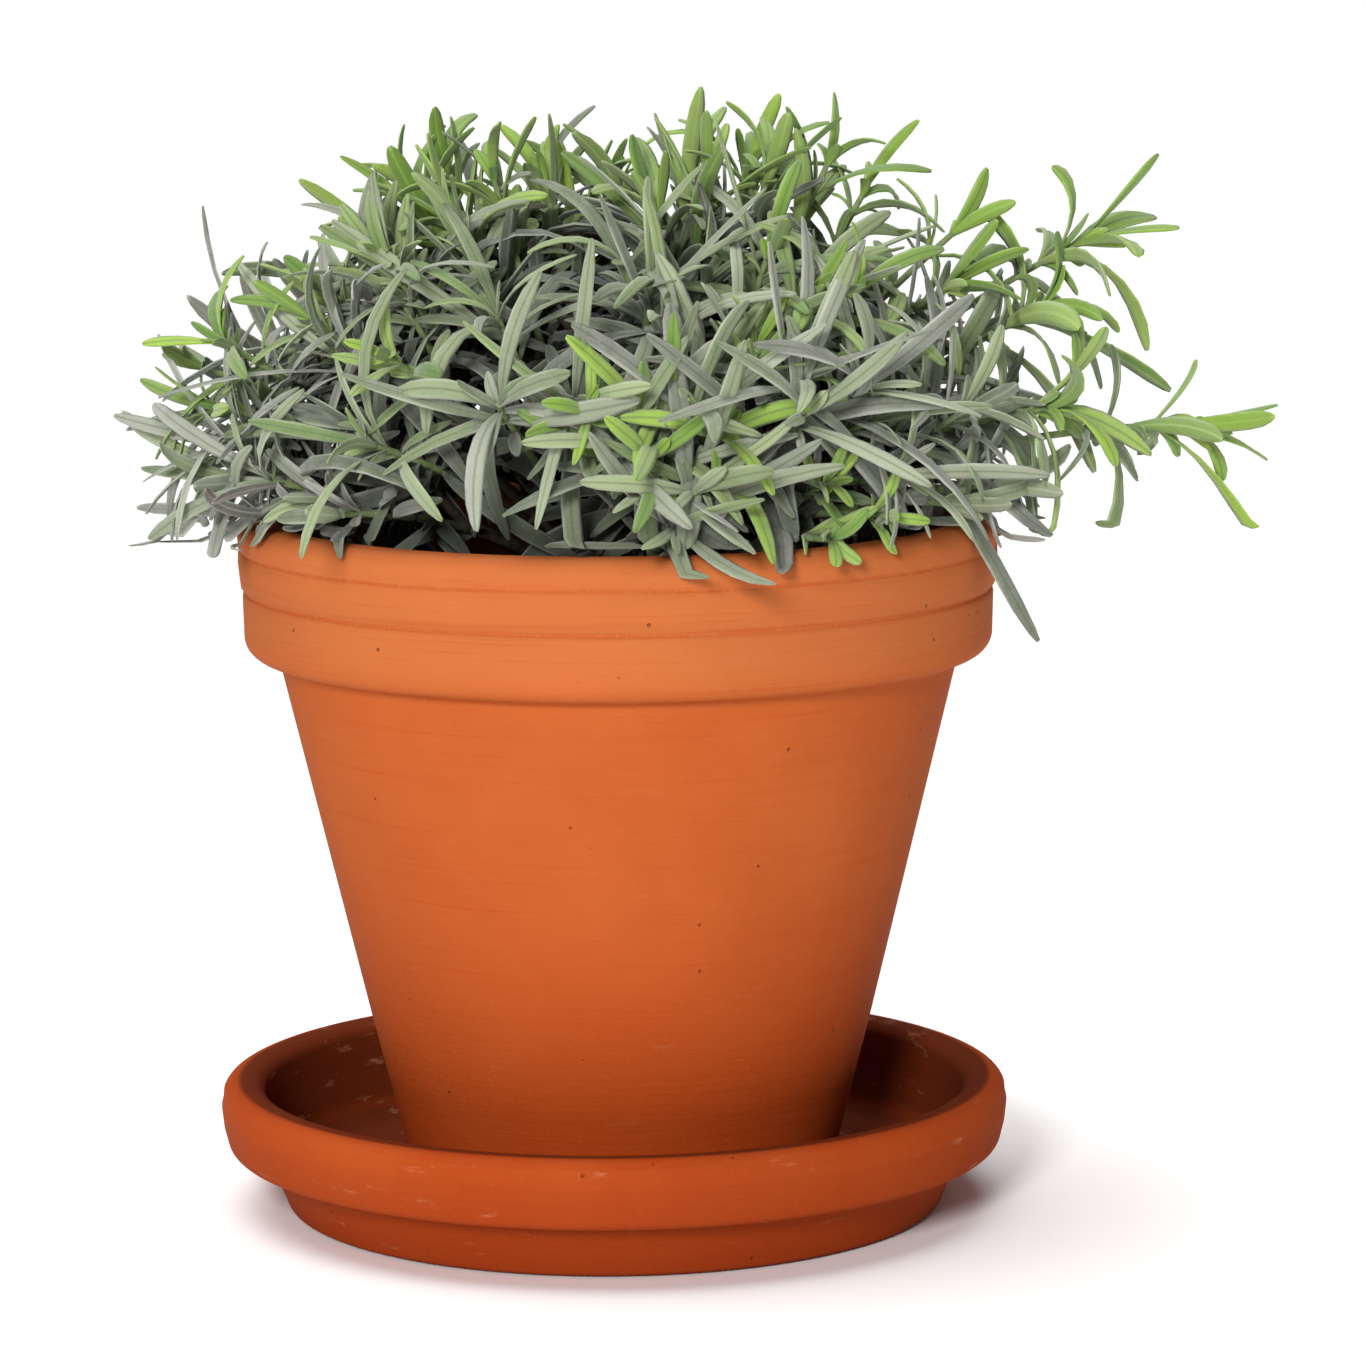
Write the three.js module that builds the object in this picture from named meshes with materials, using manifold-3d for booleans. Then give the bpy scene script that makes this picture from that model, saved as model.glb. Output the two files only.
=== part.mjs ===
// A lavender in a terracotta pot that stands on its saucer.
// Millimetres, +Z up. The origin is on the surface that the saucer stands on, on the pot's axis.
// +X is the side where the longest shoots hang out, and -Y is the front.
import * as THREE from "three";
import { mergeVertices } from "three/addons/utils/BufferGeometryUtils.js";
import Module from "manifold-3d";

// ---------- driving dimensions ----------
const GAP = 0.35; // clear space kept between pieces that touch
const ROUND_STEPS = 40; // facets round the pot and the saucer
const FINEST_DETAIL = 0.03; // edges and slivers smaller than this are joined up

const SAUCER_OFFSET_X = -2; // the pot stands a little off the saucer's centre
const SAUCER_FLOOR = 8;
const SAUCER_HEIGHT = 32;
const SAUCER_RADIUS = 99.3;
const SAUCER_BASE_RADIUS = 83;

const POT_Z = SAUCER_FLOOR + GAP;
const POT_HEIGHT = 166.5;
const POT_RADIUS = 95.1; // outside of the collar, just under the lip
const FOOT_RADIUS = 53.5;
const COLLAR_Z = 130.5; // where the collar starts, above the pot's foot
const WALL_TAPER = 0.24; // radius gained per height
const WALL = 7;
const POT_FLOOR = 9;
const DRAIN_RADIUS = 10;
const GROOVE_Z = 148.5;
const GROOVE_DEPTH = 0.6;

const SOIL_Z = 152; // height of the potting mix's surface
const SOIL_CROWN = 3; // how much higher it is round the stems

const CROWN_RADIUS = 15;
const CROWN_HEIGHT = 13;
const ROOT_DEPTH = 26;
const ROOT_RADIUS = 6;

const DOME_SHOOTS = 26;
const DOME_CENTRE_Z = 176;
const DOME_RADII = new THREE.Vector3(91, 80, 67);
const DOME_EDGE_DEG = 82; // how far down from the top the tips go
const GOLDEN_ANGLE_DEG = 137.508;

const STEM_BASE_RADIUS = 1.25;
const STEM_TIP_RADIUS = 0.7;
const STEM_SIDES = 4;
const STEM_STEPS = 3;
const LEAFY_FROM = 0.45; // share of the stem below the lowest leaves
const CAD_PAIRS = 3;
const LEAF_THICKNESS = 1.1;
const BASE_SPACING_DEG = 14; // least angle between two stems on the crown

// Shoots that stand out of the dome: [name, tip x, y, z, leaf length, leaf width].
const STANDOUT_SHOOTS = [
  ["trailing_shoot_1", 141, -12, 197, 36, 6],
  ["trailing_shoot_2", 118, 8, 242, 36, 6.5],
  ["trailing_shoot_3", 107, 2, 226, 36, 7],
  ["trailing_shoot_4", 108, -24, 203, 32, 7],
  ["green_shoot_1", -30, 0, 258, 34, 7],
  ["green_shoot_2", -42, 22, 259, 32, 6],
  ["green_shoot_3", -17, 16, 254, 30, 5.5],
  ["green_shoot_4", 2, 26, 257, 32, 5.5],
  ["green_shoot_5", 23, 0, 255, 36, 6],
  ["green_shoot_6", 53, 6, 261, 32, 5.5],
  ["green_shoot_7", 84, 0, 244, 30, 5.5],
  ["green_shoot_8", 56, -44, 232, 38, 6],
  ["green_shoot_9", 33, -70, 218, 20, 5],
  ["green_shoot_10", 8, -86, 198, 36, 6],
  ["green_shoot_11", -7, -82, 208, 22, 5],
  ["green_shoot_12", -54, -64, 220, 20, 5],
  ["green_shoot_13", -75, -30, 227, 26, 5.5],
  ["green_shoot_14", -102, -12, 213, 28, 5],
  ["green_shoot_15", -58, -14, 238, 30, 5.5],
  ["rim_shoot_1", 18, -88, 190, 42, 6.5],
  ["rim_shoot_2", -66, -60, 182, 24, 6],
  ["rim_shoot_3", -97, -20, 190, 44, 5.5],
  ["rim_shoot_4", 90, -28, 184, 40, 6],
  ["rim_shoot_5", 64, -72, 182, 18, 4.5],
  ["rim_shoot_6", 78, -46, 182, 43, 6],
  ["grey_shoot_1", -28, -80, 210, 44, 6.5],
  ["grey_shoot_2", 44, -78, 207, 48, 6],
];

// ---------- tools ----------
const wasm = await Module();
wasm.setup();
const { Manifold, Mesh: SolidMesh } = wasm;

const radians = THREE.MathUtils.degToRad;
const toXyz = (v) => new THREE.Vector3(...v);

/** A value from 0 to 1 that jumps about as i and channel change, and is the same every time. */
function scatter(i, channel) {
  const value = (i + 1) * 0.6180339887 + (channel + 1) * 0.7548776662;
  return value - Math.floor(value);
}

function toSolid(geometry) {
  const bare = geometry.index ? geometry.toNonIndexed() : geometry.clone();
  bare.deleteAttribute("normal");
  bare.deleteAttribute("uv");
  const merged = mergeVertices(bare, 1e-4);
  return new Manifold(
    new SolidMesh({
      numProp: 3,
      vertProperties: merged.attributes.position.array,
      triVerts: new Uint32Array(merged.index.array),
    }),
  );
}

function toGeometry(solid) {
  const mesh = solid.asOriginal().simplify(FINEST_DETAIL).getMesh();
  const geometry = new THREE.BufferGeometry();
  geometry.setAttribute("position", new THREE.BufferAttribute(mesh.vertProperties, mesh.numProp));
  geometry.setIndex(new THREE.BufferAttribute(mesh.triVerts, 1));
  geometry.computeVertexNormals();
  return geometry;
}

/** Points of an arc in the (radius, height) plane, angles in degrees. */
function arc(centreR, centreZ, radius, fromDeg, toDeg, steps) {
  return Array.from({ length: steps + 1 }, (_, k) => {
    const angle = radians(fromDeg + ((toDeg - fromDeg) * k) / steps);
    return [centreR + radius * Math.cos(angle), centreZ + radius * Math.sin(angle)];
  });
}

/** A solid of revolution about Z from (radius, height) points that run anticlockwise. */
function turned(points, steps = ROUND_STEPS) {
  const geometry = new THREE.LatheGeometry(
    points.map(([r, z]) => new THREE.Vector2(r, z)),
    steps,
  );
  return geometry.rotateX(Math.PI / 2);
}

/** A closed tube or blade from rings of points. A ring of one point closes to a tip. */
function lofted(rings) {
  const positions = [];
  const triangle = (a, b, c) => positions.push(...a.toArray(), ...b.toArray(), ...c.toArray());
  const first = rings[0];
  const last = rings[rings.length - 1];
  for (let i = 1; i < first.length - 1; i += 1) triangle(first[0], first[i + 1], first[i]);
  for (let i = 1; i < last.length - 1; i += 1) triangle(last[0], last[i], last[i + 1]);
  rings.slice(1).forEach((upper, k) => {
    const lower = rings[k];
    lower.forEach((corner, i) => {
      const next = lower[(i + 1) % lower.length];
      if (upper.length === 1) {
        triangle(corner, next, upper[0]);
      } else {
        const over = upper[i];
        const overNext = upper[(i + 1) % upper.length];
        triangle(corner, next, overNext);
        triangle(corner, overNext, over);
      }
    });
  });
  const geometry = new THREE.BufferGeometry();
  geometry.setAttribute("position", new THREE.Float32BufferAttribute(positions, 3));
  return geometry;
}

// ---------- the saucer, the pot and what is in it ----------
function saucer() {
  const top = SAUCER_HEIGHT;
  return turned([
    [0, 0],
    [SAUCER_BASE_RADIUS - 1.5, 0],
    ...arc(SAUCER_BASE_RADIUS - 1.5, 2, 2, -60, -15, 2),
    [86.5, 8],
    [88.3, 13.5],
    [93.5, 14.6],
    ...arc(94.3, 17.6, 3, -70, -12, 3),
    [SAUCER_RADIUS, 24],
    [SAUCER_RADIUS - 0.3, 28],
    ...arc(SAUCER_RADIUS - 3.8, top - 3.6, 3.6, 20, 90, 3),
    ...arc(93.4, top - 3, 3, 90, 170, 3),
    [88.6, 24],
    [86.6, 15],
    ...arc(80.2, SAUCER_FLOOR + 5.6, 5.6, -20, -80, 3),
    [0, SAUCER_FLOOR],
  ]);
}

const wallRadius = (z) => FOOT_RADIUS + WALL_TAPER * z;

function pot() {
  const collar = POT_RADIUS - 1.6;
  return turned([
    [DRAIN_RADIUS, 0],
    [FOOT_RADIUS - 1.5, 0],
    [FOOT_RADIUS, 1.5],
    [wallRadius(COLLAR_Z), COLLAR_Z],
    [wallRadius(COLLAR_Z) + 3.4, COLLAR_Z + 1.6],
    ...arc(collar - 4.5, COLLAR_Z + 7.5, 4.5, -55, 0, 3),
    [collar + 0.3, GROOVE_Z - 0.9],
    [collar + 0.4 - GROOVE_DEPTH, GROOVE_Z],
    [collar + 0.8, GROOVE_Z + 0.7],
    [POT_RADIUS, POT_HEIGHT - 6.2],
    ...arc(POT_RADIUS - 4.6, POT_HEIGHT - 4.6, 4.6, 0, 90, 4),
    ...arc(87, POT_HEIGHT - 3.5, 3.5, 90, 175, 3),
    [wallRadius(COLLAR_Z) - WALL + 3, COLLAR_Z + 4],
    [wallRadius(POT_FLOOR + 5) - WALL, POT_FLOOR + 5],
    ...arc(wallRadius(POT_FLOOR + 5) - WALL - 5, POT_FLOOR + 5, 5, -25, -90, 2),
    [DRAIN_RADIUS, POT_FLOOR],
    [DRAIN_RADIUS, 0],
  ]);
}

/** Inside radius of the pot at a height above its foot, from the same corners as its wall. */
function insideRadius(z) {
  const low = [POT_FLOOR + 5, wallRadius(POT_FLOOR + 5) - WALL];
  const shoulder = [COLLAR_Z + 4, wallRadius(COLLAR_Z) - WALL + 3];
  const lip = [POT_HEIGHT - 3.2, 83.5];
  const [a, b] = z < shoulder[0] ? [low, shoulder] : [shoulder, lip];
  return a[1] + ((b[1] - a[1]) * (z - a[0])) / (b[0] - a[0]);
}

function pottingMix(crown) {
  const floor = POT_FLOOR + GAP;
  const top = SOIL_Z - POT_Z;
  const edge = (z) => (insideRadius(z) - GAP) * Math.cos(Math.PI / ROUND_STEPS) - 0.1;
  const mix = turned([
    [0, floor],
    [edge(POT_FLOOR + 5) - 5, floor],
    [edge(POT_FLOOR + 6), POT_FLOOR + 6],
    [edge(COLLAR_Z + 4), COLLAR_Z + 4],
    [edge(top), top],
    [52, top + 1.4],
    [24, top + SOIL_CROWN],
    [0, top + SOIL_CROWN],
  ]).translate(0, 0, POT_Z);
  const socket = crownSolid(GAP);
  return toGeometry(toSolid(mix).subtract(socket));
}

/** The gnarled base that every stem grows from, with its root stock, grown outwards by extra. */
function crownSolid(extra = 0) {
  const z = SOIL_Z + SOIL_CROWN;
  const knob = Array.from({ length: 6 }, (_, k) => {
    const angle = radians(-30 + 24 * k);
    return [(CROWN_RADIUS + extra) * Math.cos(angle), z + (CROWN_HEIGHT + extra) * Math.sin(angle)];
  }).filter(([r]) => r > 0.01);
  const profile = [
    [0, z - ROOT_DEPTH - extra],
    [ROOT_RADIUS * 0.6 + extra, z - ROOT_DEPTH - extra],
    [ROOT_RADIUS + extra, z - ROOT_DEPTH * 0.55],
    ...knob,
    [0, z + CROWN_HEIGHT + extra],
  ];
  return toSolid(turned(profile, 16));
}

// ---------- the shoots ----------
const CROWN_CENTRE = new THREE.Vector3(0, 0, SOIL_Z + SOIL_CROWN);

function domeTip(i) {
  const edge = Math.cos(radians(DOME_EDGE_DEG));
  const up = 1 - ((i + 0.5) / DOME_SHOOTS) * (1 - edge);
  const out = Math.sqrt(1 - up * up);
  const around = radians(GOLDEN_ANGLE_DEG * i);
  const reach = 0.92 + 0.16 * scatter(i, 0);
  return new THREE.Vector3(out * Math.cos(around), out * Math.sin(around), up)
    .multiply(DOME_RADII)
    .multiplyScalar(reach)
    .add(new THREE.Vector3(0, 0, DOME_CENTRE_Z));
}

function plantingPlan() {
  const dome = Array.from({ length: DOME_SHOOTS }, (_, i) => ({
    name: `dome_shoot_${i + 1}`,
    tip: domeTip(i),
    leafLength: 44 + 12 * scatter(i, 1),
    leafWidth: 5 + 1.0 * scatter(i, 2),
  }));
  const standing = STANDOUT_SHOOTS.map(([name, x, y, z, leafLength, leafWidth]) => ({
    name,
    tip: toXyz([x, y, z]),
    leafLength,
    leafWidth,
  }));
  return [...standing, ...dome];
}

/** Directions in which the stems leave the crown: towards their tips, but pushed apart. */
function stemDirections(shoots) {
  const directions = shoots.map(({ tip }) => {
    const d = tip.clone().sub(CROWN_CENTRE);
    d.z = Math.max(d.z, 0.12 * d.length());
    return d.normalize();
  });
  const least = radians(BASE_SPACING_DEG);
  for (let round = 0; round < 60; round += 1) {
    directions.forEach((a, i) => {
      directions.slice(i + 1).forEach((b) => {
        const apart = a.angleTo(b);
        if (apart >= least) return;
        const push = b.clone().sub(a).setLength((least - apart) * 0.5);
        a.sub(push).normalize();
        b.add(push).normalize();
      });
      a.z = Math.max(a.z, 0.1);
      a.normalize();
    });
  }
  return directions;
}

/** A shoot's stem as a curve that leaves the crown along direction and ends at the tip. */
function stemCurve(shoot, direction) {
  const scale = new THREE.Vector3(CROWN_RADIUS, CROWN_RADIUS, CROWN_HEIGHT);
  const start = CROWN_CENTRE.clone().add(direction.clone().multiply(scale).multiplyScalar(1.1));
  const reach = start.distanceTo(shoot.tip);
  const flat = 1 - direction.z;
  const bend = start
    .clone()
    .addScaledVector(direction, reach * 0.45)
    .add(new THREE.Vector3(0, 0, reach * 0.22 * flat));
  return new THREE.QuadraticBezierCurve3(start, bend, shoot.tip);
}

/** Across, up and along directions of a stem at u: along is its tangent. */
function stemFrame(curve, u) {
  const along = curve.getTangent(u);
  const chord = curve.v2.clone().sub(curve.v0).setZ(0).normalize();
  const side = new THREE.Vector3(-chord.y, chord.x, 0);
  side.addScaledVector(along, -side.dot(along)).normalize();
  return { side, over: along.clone().cross(side).normalize(), along };
}

function stemSolid(curve) {
  const rings = Array.from({ length: STEM_STEPS + 1 }, (_, k) => {
    const u = k / STEM_STEPS;
    const { side, over } = stemFrame(curve, u);
    const radius = THREE.MathUtils.lerp(STEM_BASE_RADIUS, STEM_TIP_RADIUS, u);
    return Array.from({ length: STEM_SIDES }, (_, i) => {
      const angle = (2 * Math.PI * i) / STEM_SIDES;
      return curve
        .getPoint(u)
        .addScaledVector(side, radius * Math.cos(angle))
        .addScaledVector(over, radius * Math.sin(angle));
    });
  });
  return toSolid(lofted(rings));
}

/** A blade that starts inside the stem, leans out from it and droops a little. */
function leafSolid(shoot, curve, pair, second, turn) {
  const share = pair / (CAD_PAIRS - 1);
  const u = LEAFY_FROM + (0.97 - LEAFY_FROM) * share;
  const { side, over, along } = stemFrame(curve, u);
  const around = Math.PI / 4 + (Math.PI / 2) * pair + Math.PI * second + turn;
  const out = side
    .clone()
    .multiplyScalar(Math.cos(around))
    .addScaledVector(over, Math.sin(around));
  const across = along.clone().cross(out);
  const length = shoot.leafLength * (0.85 + 0.5 * share - 0.85 * share * share);
  const leanFrom = radians(THREE.MathUtils.lerp(52, 18, share));
  const leanTo = radians(THREE.MathUtils.lerp(88, 40, share));
  const droop = 0.12 * (1 - share);
  const base = curve.getPoint(u).addScaledVector(along, -1.3 * second).addScaledVector(out, -0.2);
  const halfWidths = [0.13, 0.5];
  const steps = halfWidths.length;
  const spine = base.clone();
  const rings = halfWidths.map((halfWidth, k) => {
    const lean = THREE.MathUtils.lerp(leanFrom, leanTo, k / steps);
    const towards = out.clone().multiplyScalar(Math.sin(lean)).addScaledVector(along, Math.cos(lean));
    const face = across.clone().cross(towards).normalize();
    const at = spine.clone();
    spine.addScaledVector(towards, length / steps).add(new THREE.Vector3(0, 0, (-droop * length * k) / steps));
    return [
      at.clone().addScaledVector(across, -halfWidth * shoot.leafWidth),
      at.clone().addScaledVector(face, LEAF_THICKNESS / 2),
      at.clone().addScaledVector(across, halfWidth * shoot.leafWidth),
    ];
  });
  return toSolid(lofted([...rings, [spine.clone()]]));
}

function boxesMeet(a, b) {
  return [0, 1, 2].every((k) => a.min[k] <= b.max[k] && b.min[k] <= a.max[k]);
}

function isClear(solid, taken) {
  const box = solid.boundingBox();
  return taken.every((other) => !boxesMeet(box, other.box) || solid.intersect(other.solid).isEmpty());
}

/** Every shoot as one solid. A leaf that can't find clear space round its stem is left out. */
function growShoots(obstacles) {
  const shoots = plantingPlan();
  const directions = stemDirections(shoots);
  const grown = shoots.map((shoot, i) => {
    const curve = stemCurve(shoot, directions[i]);
    const solid = stemSolid(curve);
    return { shoot, curve, solid, parts: [{ solid, box: solid.boundingBox() }] };
  });
  const turns = [0, 0.35, -0.35, 0.7, -0.7];
  for (let pair = CAD_PAIRS - 1; pair >= 0; pair -= 1) {
    grown.forEach((plant) => {
      const others = grown.filter((g) => g !== plant).flatMap((g) => g.parts);
      [0, 1].forEach((second) => {
        const leaf = turns
          .map((turn) => leafSolid(plant.shoot, plant.curve, pair, second, turn))
          .find((candidate) => isClear(candidate, [...others, ...obstacles]));
        if (leaf) plant.parts.push({ solid: leaf, box: leaf.boundingBox() });
      });
    });
  }
  return grown.map(({ shoot, parts }) => ({
    name: shoot.name,
    solid: parts.map(({ solid }) => solid).reduce((whole, part) => whole.add(part)),
  }));
}

// ---------- assembly ----------
const terracotta = new THREE.MeshStandardMaterial({ color: 0xc8632f, roughness: 0.85, metalness: 0 });
const soilMaterial = new THREE.MeshStandardMaterial({ color: 0x2a1d14, roughness: 1, metalness: 0 });
const barkMaterial = new THREE.MeshStandardMaterial({ color: 0x5e4a3a, roughness: 0.95, metalness: 0 });
const greyLeaf = new THREE.MeshStandardMaterial({ color: 0x8f9a86, roughness: 0.9, metalness: 0 });
const greenLeaf = new THREE.MeshStandardMaterial({ color: 0x86b23e, roughness: 0.75, metalness: 0 });

const part = new THREE.Group();

function place(name, geometry, material, position = [0, 0, 0]) {
  const mesh = new THREE.Mesh(geometry, material);
  mesh.name = name;
  mesh.position.set(...position);
  part.add(mesh);
  return mesh;
}

const crown = crownSolid();
place("saucer", saucer(), terracotta, [SAUCER_OFFSET_X, 0, 0]);
place("pot", pot(), terracotta, [0, 0, POT_Z]);
place("potting_mix", pottingMix(crown), soilMaterial);
place("woody_crown", toGeometry(crown), barkMaterial);

const obstacles = part.children.map((mesh) => {
  const solid = toSolid(mesh.geometry.clone().translate(...mesh.position.toArray()));
  return { solid, box: solid.boundingBox() };
});
growShoots(obstacles).forEach(({ name, solid }) => {
  const young = name.startsWith("green") || name.startsWith("trailing");
  place(name, toGeometry(solid), young ? greenLeaf : greyLeaf);
});

export default part;
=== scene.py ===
import math
from types import SimpleNamespace

import bmesh
import bpy
from mathutils import Matrix, Vector, noise


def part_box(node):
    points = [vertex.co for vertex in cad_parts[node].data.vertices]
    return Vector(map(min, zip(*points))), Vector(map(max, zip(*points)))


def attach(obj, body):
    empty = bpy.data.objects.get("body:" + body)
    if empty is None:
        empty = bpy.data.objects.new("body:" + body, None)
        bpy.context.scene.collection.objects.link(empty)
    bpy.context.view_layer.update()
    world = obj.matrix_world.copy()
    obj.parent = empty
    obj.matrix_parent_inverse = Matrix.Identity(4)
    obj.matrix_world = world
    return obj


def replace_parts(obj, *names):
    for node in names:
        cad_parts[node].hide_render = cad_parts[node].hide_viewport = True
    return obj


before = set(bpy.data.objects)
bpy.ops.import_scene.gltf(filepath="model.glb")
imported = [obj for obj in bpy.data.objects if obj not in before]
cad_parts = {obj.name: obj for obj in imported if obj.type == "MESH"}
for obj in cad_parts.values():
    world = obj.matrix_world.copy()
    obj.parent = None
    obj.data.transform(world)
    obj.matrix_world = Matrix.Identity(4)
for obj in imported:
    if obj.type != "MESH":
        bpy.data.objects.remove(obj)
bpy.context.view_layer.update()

# ---------- driving dimensions, metres ----------
MM = 0.001
POT_LOW, POT_HIGH = (Vector(corner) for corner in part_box("pot"))
SAUCER_LOW, SAUCER_HIGH = (Vector(corner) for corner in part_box("saucer"))
CROWN_LOW, CROWN_HIGH = (Vector(corner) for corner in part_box("woody_crown"))
MIX_HIGH = Vector(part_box("potting_mix")[1])

POT_HEIGHT = POT_HIGH.z - POT_LOW.z
POT_RADIUS = (POT_HIGH.x - POT_LOW.x) / 2
FOOT_RADIUS = 53.5 * MM
WALL = 7 * MM
WALL_TAPER = 0.24
COLLAR_Z = 130.5 * MM
GROOVE_Z = 148.5 * MM
POT_FLOOR = 9 * MM
DRAIN_RADIUS = 10 * MM

SAUCER_CENTRE_X = (SAUCER_LOW.x + SAUCER_HIGH.x) / 2
SAUCER_RADIUS = (SAUCER_HIGH.x - SAUCER_LOW.x) / 2
SAUCER_HEIGHT = SAUCER_HIGH.z - SAUCER_LOW.z
SAUCER_BASE_RADIUS = 83 * MM
SAUCER_FLOOR = 8 * MM

SOIL_CROWN = 3 * MM
SOIL_Z = MIX_HIGH.z - SOIL_CROWN
CROWN_RADIUS = (CROWN_HIGH.x - CROWN_LOW.x) / 2
CROWN_CENTRE = Vector((0, 0, MIX_HIGH.z))
CROWN_HEIGHT = CROWN_HIGH.z - MIX_HIGH.z

CAMERA_DISTANCE = 1.4
CAMERA_HEIGHT = 0.34444
CAMERA_PITCH = 0.150932  # down
CAMERA_YAW = 0.011472  # towards +X
CAMERA_ROLL = -0.006432
CAMERA_LENS_MM = 148.7
SENSOR_MM = 36


# ---------- camera, floor and light ----------
def add_camera():
    """The camera a little above the rim; aim_camera turns it to look slightly down."""
    data = bpy.data.cameras.new("camera")
    data.sensor_width = SENSOR_MM
    data.lens = CAMERA_LENS_MM
    data.clip_end = 20
    camera = bpy.data.objects.new("camera", data)
    camera.location = (0, -CAMERA_DISTANCE, CAMERA_HEIGHT)
    camera.rotation_mode = "YXZ"
    bpy.context.scene.collection.objects.link(camera)
    bpy.context.scene.camera = camera
    return camera


def aim_camera(camera):
    """Turns the camera: heading first, then pitch, then roll about its own axis."""
    heading = Matrix.Rotation(-CAMERA_YAW, 3, "Z")
    upright = Matrix.Rotation(math.pi / 2 - CAMERA_PITCH, 3, "X")
    roll = Matrix.Rotation(CAMERA_ROLL, 3, "Z")
    camera.rotation_mode = "QUATERNION"
    camera.rotation_quaternion = (heading @ upright @ roll).to_quaternion()


def add_soft_light(name, location, target, size, watts):
    data = bpy.data.lights.new(name, "AREA")
    data.shape = "DISK"
    data.size = size
    data.energy = watts
    light = bpy.data.objects.new(name, data)
    light.location = location
    aim = Vector(target) - Vector(location)
    light.rotation_mode = "QUATERNION"
    light.rotation_quaternion = aim.to_track_quat("-Z", "Y")
    bpy.context.scene.collection.objects.link(light)


def add_stage():
    """A white floor that runs out of sight and an even surround; add_overhead_light adds the wide soft
    light from above.
    """
    bpy.ops.mesh.primitive_circle_add(vertices=64, radius=60, fill_type="NGON", location=(0, 0, -0.0005))
    floor = bpy.context.object
    floor.name = "floor"
    material = bpy.data.materials.new("studio_floor")
    material.use_nodes = True
    surface = material.node_tree.nodes["Principled BSDF"]
    surface.inputs["Base Color"].default_value = (0.95, 0.95, 0.95, 1)
    surface.inputs["Roughness"].default_value = 0.9
    surface.inputs["Specular IOR Level"].default_value = 0.0
    floor.data.materials.append(material)
    world = bpy.data.worlds.new("studio")
    world.use_nodes = True
    world.node_tree.nodes["Background"].inputs["Color"].default_value = (1, 1, 1, 1)
    world.node_tree.nodes["Background"].inputs["Strength"].default_value = SURROUND_LIGHT
    bpy.context.scene.world = world
    bpy.context.scene.view_settings.view_transform = "Standard"


def add_overhead_light():
    data = bpy.data.lights.new("overhead", "SUN")
    data.energy = OVERHEAD_LIGHT
    data.angle = math.radians(60)
    light = bpy.data.objects.new("overhead", data)
    light.rotation_mode = "QUATERNION"
    light.rotation_quaternion = Vector((0.16, -0.10, -1)).to_track_quat("-Z", "Y")
    bpy.context.scene.collection.objects.link(light)


SURROUND_LIGHT = 0.19
OVERHEAD_LIGHT = 2.78
camera = add_camera()
aim_camera(camera)
add_stage()
add_overhead_light()
middle = (0, 0, 0.14)
add_soft_light("front_left_softbox", (-0.40, -1.9, 0.80), middle, 0.45, 38)


# ---------- a short way to write node trees ----------
class Wire:
    """A number or a vector that flows between nodes. Arithmetic on it adds the nodes."""

    def __init__(self, net, socket, vector=False):
        self.net = net
        self.socket = socket
        self.vector = vector

    def maths(self, operation, other=None, third=None):
        values = [v for v in (self, other, third) if v is not None]
        if self.vector or (isinstance(other, Wire) and other.vector):
            node = self.net.add("ShaderNodeVectorMath", operation=operation)
            for slot, value in zip(node.inputs, values):
                self.net.feed(slot, value)
            is_number = operation in ("DOT_PRODUCT", "LENGTH", "DISTANCE")
            return Wire(self.net, node.outputs["Value" if is_number else "Vector"], not is_number)
        node = self.net.add("ShaderNodeMath", operation=operation)
        for slot, value in zip(node.inputs, values):
            self.net.feed(slot, value)
        return Wire(self.net, node.outputs[0])

    def __add__(self, other):
        return self.maths("ADD", other)

    __radd__ = __add__

    def __sub__(self, other):
        return self.maths("SUBTRACT", other)

    def __rsub__(self, other):
        return (self * -1) + other

    def __mul__(self, other):
        if self.vector and not (isinstance(other, Wire) and other.vector):
            node = self.net.add("ShaderNodeVectorMath", operation="SCALE")
            self.net.feed(node.inputs["Vector"], self)
            self.net.feed(node.inputs["Scale"], other)
            return Wire(self.net, node.outputs["Vector"], True)
        if isinstance(other, Wire) and other.vector and not self.vector:
            return other * self
        return self.maths("MULTIPLY", other)

    __rmul__ = __mul__

    def __truediv__(self, other):
        return self.maths("DIVIDE", other)

    def __pow__(self, other):
        return self.maths("POWER", other)

    def floor(self):
        return self.maths("FLOOR")

    def mod(self, other):
        return self.maths("MODULO", other)

    def sin(self):
        return self.maths("SINE")

    def cos(self):
        return self.maths("COSINE")

    def abs(self):
        return self.maths("ABSOLUTE")

    def cross(self, other):
        return self.maths("CROSS_PRODUCT", other)

    def unit(self):
        return self.maths("NORMALIZE")

    def above(self, other):
        return self.maths("GREATER_THAN", other)

    def at_least(self, other):
        return self.maths("MAXIMUM", other)

    def at_most(self, other):
        return self.maths("MINIMUM", other)

    def between(self, low, high, to_low=0.0, to_high=1.0):
        """Eases from to_low to to_high as the number goes from low to high."""
        node = self.net.add("ShaderNodeMapRange", interpolation_type="SMOOTHSTEP")
        for slot, value in zip(node.inputs, (self, low, high, to_low, to_high)):
            self.net.feed(slot, value)
        return Wire(self.net, node.outputs[0])

    def parts(self):
        node = self.net.add("ShaderNodeSeparateXYZ")
        self.net.feed(node.inputs[0], self)
        return [Wire(self.net, output) for output in node.outputs]


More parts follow.
